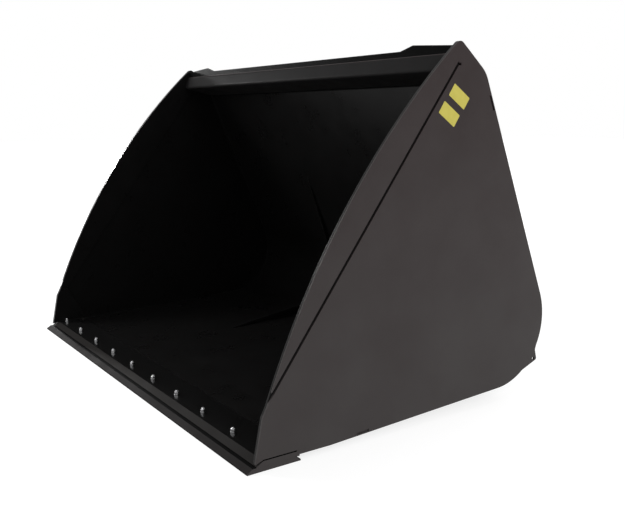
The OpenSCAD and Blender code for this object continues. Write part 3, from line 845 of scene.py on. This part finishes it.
def floor_finish():
    """A grey that takes the shadow, with a white glow over it that fades in away from the bucket."""
    finish, tree, shader = new_finish("studio_floor")
    shader.inputs["Base Color"].default_value = (0.30, 0.30, 0.30, 1)
    shader.inputs["Specular IOR Level"].default_value = 0.1
    grain = noise(tree, scale=3, detail=2)
    tree.links.new(spread(tree, grain, (0, 1), (0.85, 0.95)), shader.inputs["Roughness"])
    glow = add_node(tree, "Emission", Color=(1, 1, 1, 1))
    place = add_node(tree, "TexCoord")
    away = add_node(tree, "VectorMath", operation="LENGTH")
    tree.links.new(place.outputs["Object"], away.inputs[0])
    tree.links.new(spread(tree, away.outputs["Value"], (3.2, 6.0), (0.80, 1.1)), glow.inputs["Strength"])
    seen = seen_share(tree)
    lit = add_node(tree, "AddShader")
    tree.links.new(shader.outputs[0], lit.inputs[0])
    tree.links.new(glow.outputs[0], lit.inputs[1])
    choose = add_node(tree, "MixShader")
    tree.links.new(seen, choose.inputs[0])
    plain = add_node(tree, "BsdfDiffuse", Color=(0.7, 0.7, 0.7, 1))
    tree.links.new(plain.outputs[0], choose.inputs[1])
    tree.links.new(lit.outputs[0], choose.inputs[2])
    tree.links.new(choose.outputs[0], tree.nodes["Material Output"].inputs["Surface"])
    return finish


bm = bmesh.new()
bmesh.ops.create_grid(bm, x_segments=1, y_segments=1, size=FLOOR_SIZE / 2)
bmesh.ops.translate(bm, vec=(0, 0, -FLOOR_DOWN), verts=bm.verts)
mesh = bpy.data.meshes.new("studio_floor")
bm.to_mesh(mesh)
bm.free()
mesh.materials.append(floor_finish())
studio_floor = bpy.data.objects.new("studio_floor", mesh)
bpy.context.scene.collection.objects.link(studio_floor)

world = bpy.data.worlds.new("studio_air")
bpy.context.scene.world = world
world.use_nodes = True
air = world.node_tree
soft = air.nodes["Background"]
soft.inputs["Color"].default_value = (1, 1, 1, 1)
soft.inputs["Strength"].default_value = AIR_LIGHT
white = add_node(air, "Background", Color=(1, 1, 1, 1), Strength=1.0)
pick = add_node(air, "MixShader")
air.links.new(seen_share(air), pick.inputs[0])
air.links.new(soft.outputs[0], pick.inputs[1])
air.links.new(white.outputs[0], pick.inputs[2])
air.links.new(pick.outputs[0], air.nodes["World Output"].inputs["Surface"])


def lamp(name, place, aim, size, power, glints=False):
    """A square lamp, kept out of reflections unless it glints."""
    data = bpy.data.lights.new(name, "AREA")
    data.shape = "SQUARE"
    data.size = size
    data.energy = power
    made = bpy.data.objects.new(name, data)
    made.location = place
    made.rotation_euler = (Vector(aim) - Vector(place)).to_track_quat("-Z", "Y").to_euler()
    made.visible_glossy = glints
    bpy.context.scene.collection.objects.link(made)


lamp("key_lamp", (-4.2, -4.0, 3.6), (0, 0, 0.8), size=2.2, power=200)
lamp("side_lamp", (5.5, 0.5, 3.0), (1.2, 0, 0.8), size=4.0, power=150)
lamp("rear_lamp", (1.0, 5.5, 4.5), (0, 0, 0.8), size=3.0, power=150)
lamp("left_lamp", (-7.0, -0.35, 2.05), (0, 0, 1.2), size=0.3, power=400, glints=True)

# The camera of the photograph, whose frame is 625 pixels wide
FRAME_PX = 625
FOCAL_PX = 781.39
SENSOR = 36
CAMERA_PLACE = (3537.2, -1318.1, 1279.5)
CAMERA_DOWN = 10.09
CAMERA_ROUND = 55.20
camera_data = bpy.data.cameras.new("photo_camera")
camera_data.sensor_fit = "HORIZONTAL"
camera_data.sensor_width = SENSOR
camera_data.lens = FOCAL_PX / FRAME_PX * SENSOR
camera_data.clip_end = 200
camera = bpy.data.objects.new("photo_camera", camera_data)
camera.location = spot(*CAMERA_PLACE)
camera.rotation_euler = (math.radians(90 - CAMERA_DOWN), 0, math.radians(CAMERA_ROUND))
bpy.context.scene.collection.objects.link(camera)
bpy.context.scene.camera = camera

bpy.context.scene.view_settings.view_transform = "Standard"
